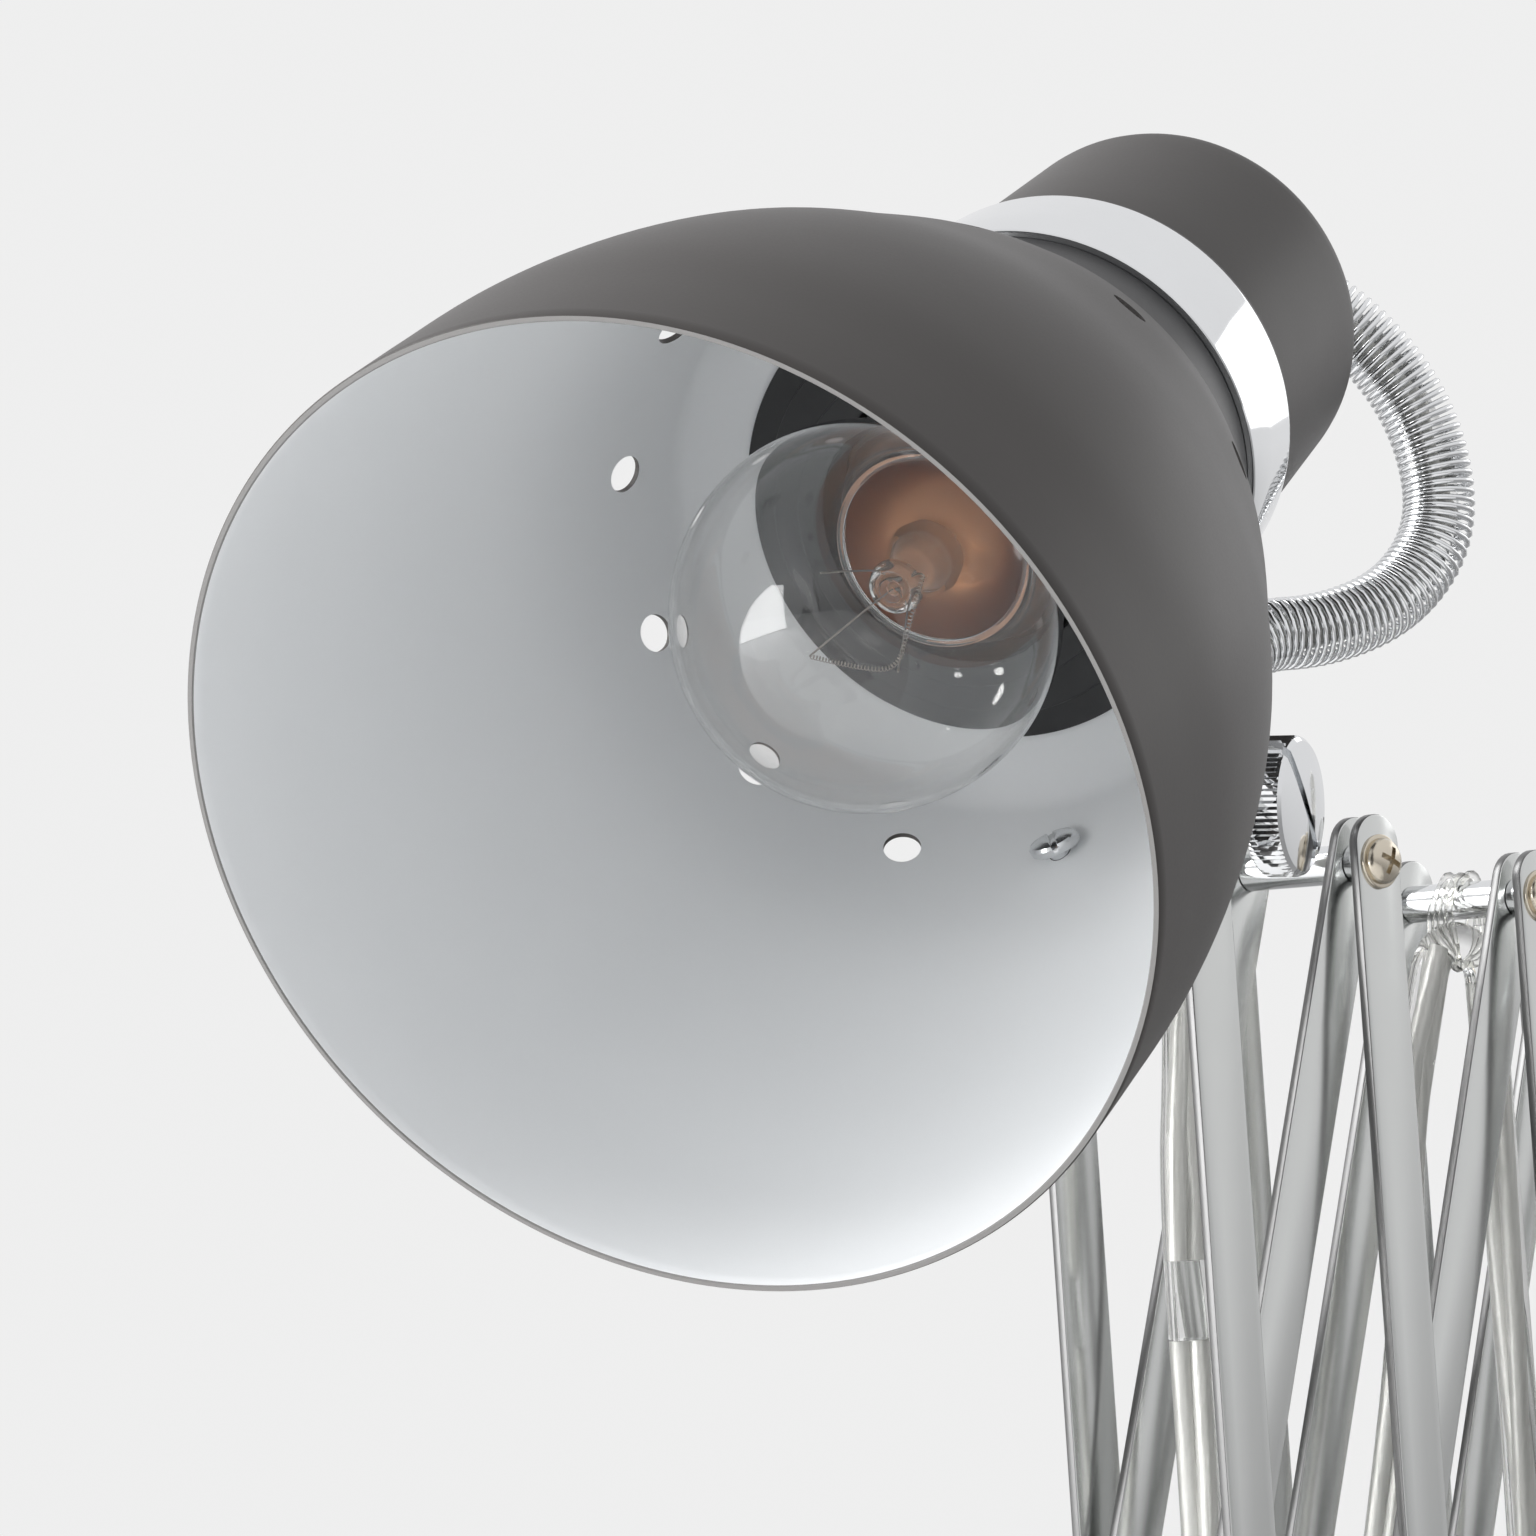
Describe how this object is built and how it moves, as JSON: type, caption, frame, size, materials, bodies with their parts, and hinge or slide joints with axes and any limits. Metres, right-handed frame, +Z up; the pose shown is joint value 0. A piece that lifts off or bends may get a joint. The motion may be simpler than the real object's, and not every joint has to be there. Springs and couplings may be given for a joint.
{
  "type": "scissor-arm desk lamp",
  "caption": "Clamp-on desk lamp: post, extending scissor arm of flat steel links, tilting bell shade with a clear bulb, spring-covered flex, cord and plug.",
  "frame": {"origin": "on the desk top, under the axis of the post", "axes": "+Z up, -Y out along the arm towards the head, X along the cross rods of the arm, +X on the side of the tilt knob"},
  "size_m": [0.3279, 0.4251, 0.6168],
  "materials": {
    "link_steel": "nickel-plated strip, satin",
    "rod_steel": "turned, bright",
    "screw_nickel": "nickel, warm tint",
    "post_chrome": "polished",
    "collar_paint": "satin dark grey",
    "clamp_paint": "satin dark grey",
    "shade_paint": "satin dark grey outside, pale grey inside",
    "cap_paint": "satin dark grey",
    "head_chrome": "polished",
    "spring_chrome": "polished wire",
    "black_plastic": "moulded",
    "bulb_glass": "clear",
    "bulb_base": "rolled thread",
    "clear_flex": "clear sleeve over twisted tinned wires",
    "plug_plastic": "moulded",
    "pin_nickel": "nickel",
    "pad_rubber": "matt"
  },
  "bodies": {
    "base": {"post": "post_chrome", "stop_ring": "post_chrome", "stop_ring_screw": "black_plastic", "clamp_body": "clamp_paint", "desk_pad": "pad_rubber", "tail_gland": "black_plastic", "tail_cord": "clear_flex", "cord_coil": "clear_flex", "plug_cord": "clear_flex", "plug_body": "plug_plastic", "plug_pins": "pin_nickel"},
    "clamp_screw": {"clamp_screw": "post_chrome", "clamp_pad": "post_chrome"},
    "swivel": {"swivel_collar": "collar_paint", "post_cap": "collar_paint", "cap_grommet": "black_plastic", "top_pin": "rod_steel", "top_pin_screws": "screw_nickel"},
    "inner_4": {"inner_links_4": "link_steel", "flex_run_4": "clear_flex"},
    "outer_4": {"outer_links_4": "link_steel", "cross_rods_4": "rod_steel", "pivot_screws_4": "screw_nickel"},
    "inner_3": {"inner_links_3": "link_steel"},
    "outer_3": {"outer_links_3": "link_steel", "cross_rods_3": "rod_steel", "pivot_screws_3": "screw_nickel", "flex_run_3": "clear_flex"},
    "inner_2": {"inner_links_2": "link_steel", "flex_run_2": "clear_flex"},
    "outer_2": {"outer_links_2": "link_steel", "cross_rods_2": "rod_steel", "pivot_screws_2": "screw_nickel"},
    "inner_1": {"inner_links_1": "link_steel", "end_rod": "rod_steel"},
    "outer_1": {"outer_links_1": "link_steel", "cross_rods_1": "rod_steel", "pivot_screws_1": "screw_nickel", "flex_run_1": "clear_flex"},
    "sliding": {"sliding_collar": "collar_paint"},
    "head_block": {"swivel_block": "head_chrome", "swivel_nut": "head_chrome"},
    "head_yoke": {"yoke": "head_chrome"},
    "head": {"head_bracket": "head_chrome", "bracket_screw": "head_chrome", "bracket_nut": "head_chrome", "shade": "shade_paint", "socket_ring": "black_plastic", "socket_housing": "black_plastic", "lampholder": "black_plastic", "chrome_ring": "head_chrome", "cap": "cap_paint", "cord_gland": "black_plastic", "bulb_glass": "bulb_glass", "bulb_base": "bulb_base", "tilt_shaft": "head_chrome", "knob_spacer": "head_chrome", "lead_spring": "spring_chrome", "flex_lead": "clear_flex"},
    "knob": {"tilt_knob": "head_chrome"}
  },
  "joints": [
    {"name": "arm_swivel", "type": "hinge", "parent": "base", "child": "swivel", "pos_m": [0, 0, 0.36], "axis": [0, 0, 1], "range_deg": [-120, 120]},
    {"name": "arm_extend", "type": "hinge", "parent": "swivel", "child": "inner_4", "pos_m": [0, -0.02, 0.36], "axis": [-1, 0, 0], "range_deg": [-1, 32.3], "deforming": ["flex_run_1", "flex_run_2", "flex_run_3", "flex_run_4"]},
    {"name": "middle_pivot_4", "type": "hinge", "parent": "inner_4", "child": "outer_4", "pos_m": [0, -0.04235, 0.2294], "axis": [1, 0, 0], "range_deg": [-2.05, 64.65]},
    {"name": "top_pivot_3", "type": "hinge", "parent": "outer_4", "child": "inner_3", "pos_m": [0, -0.0647, 0.36], "axis": [-1, 0, 0], "range_deg": [-2.05, 64.65]},
    {"name": "middle_pivot_3", "type": "hinge", "parent": "inner_3", "child": "outer_3", "pos_m": [0, -0.08705, 0.2294], "axis": [1, 0, 0], "range_deg": [-2.05, 64.65]},
    {"name": "top_pivot_2", "type": "hinge", "parent": "outer_3", "child": "inner_2", "pos_m": [0, -0.1094, 0.36], "axis": [-1, 0, 0], "range_deg": [-2.05, 64.65]},
    {"name": "middle_pivot_2", "type": "hinge", "parent": "inner_2", "child": "outer_2", "pos_m": [0, -0.13175, 0.2294], "axis": [1, 0, 0], "range_deg": [-2.05, 64.65]},
    {"name": "top_pivot_1", "type": "hinge", "parent": "outer_2", "child": "inner_1", "pos_m": [0, -0.1541, 0.36], "axis": [-1, 0, 0], "range_deg": [-2.05, 64.65]},
    {"name": "middle_pivot_1", "type": "hinge", "parent": "inner_1", "child": "outer_1", "pos_m": [0, -0.17645, 0.2294], "axis": [1, 0, 0], "range_deg": [-2.05, 64.65]},
    {"name": "collar_pivot", "type": "hinge", "parent": "outer_4", "child": "sliding", "pos_m": [0, -0.02, 0.0988], "axis": [-1, 0, 0], "range_deg": [-1.05, 32.35]},
    {"name": "head_rock", "type": "hinge", "parent": "outer_1", "child": "head_block", "pos_m": [0, -0.1988, 0.36], "axis": [1, 0, 0], "range_deg": [-12, 10]},
    {"name": "head_swivel", "type": "hinge", "parent": "head_block", "child": "head_yoke", "pos_m": [0, -0.1988, 0.36], "axis": [0, 0, 1], "range_deg": [-30, 12]},
    {"name": "head_tilt", "type": "hinge", "parent": "head_yoke", "child": "head", "pos_m": [-0.00507, -0.18683, 0.3665], "axis": [0.9208, 0.3899, 0], "range_deg": [-28, 18], "deforming": ["flex_lead", "lead_spring"]},
    {"name": "knob_turn", "type": "hinge", "parent": "head", "child": "knob", "pos_m": [0.01703, -0.17747, 0.3665], "axis": [0.9208, 0.3899, 0], "continuous": true},
    {"name": "clamp_slide", "type": "slide", "parent": "base", "child": "clamp_screw", "axis": [0, 0, 1], "range_m": [-0.01, 0.037]}
  ],
  "couplings": [
    {"joint": "middle_pivot_4", "follows": "arm_extend", "ratio": 2},
    {"joint": "top_pivot_3", "follows": "arm_extend", "ratio": 2},
    {"joint": "middle_pivot_3", "follows": "arm_extend", "ratio": 2},
    {"joint": "top_pivot_2", "follows": "arm_extend", "ratio": 2},
    {"joint": "middle_pivot_2", "follows": "arm_extend", "ratio": 2},
    {"joint": "top_pivot_1", "follows": "arm_extend", "ratio": 2},
    {"joint": "middle_pivot_1", "follows": "arm_extend", "ratio": 2},
    {"joint": "collar_pivot", "follows": "arm_extend", "ratio": 1}
  ]
}
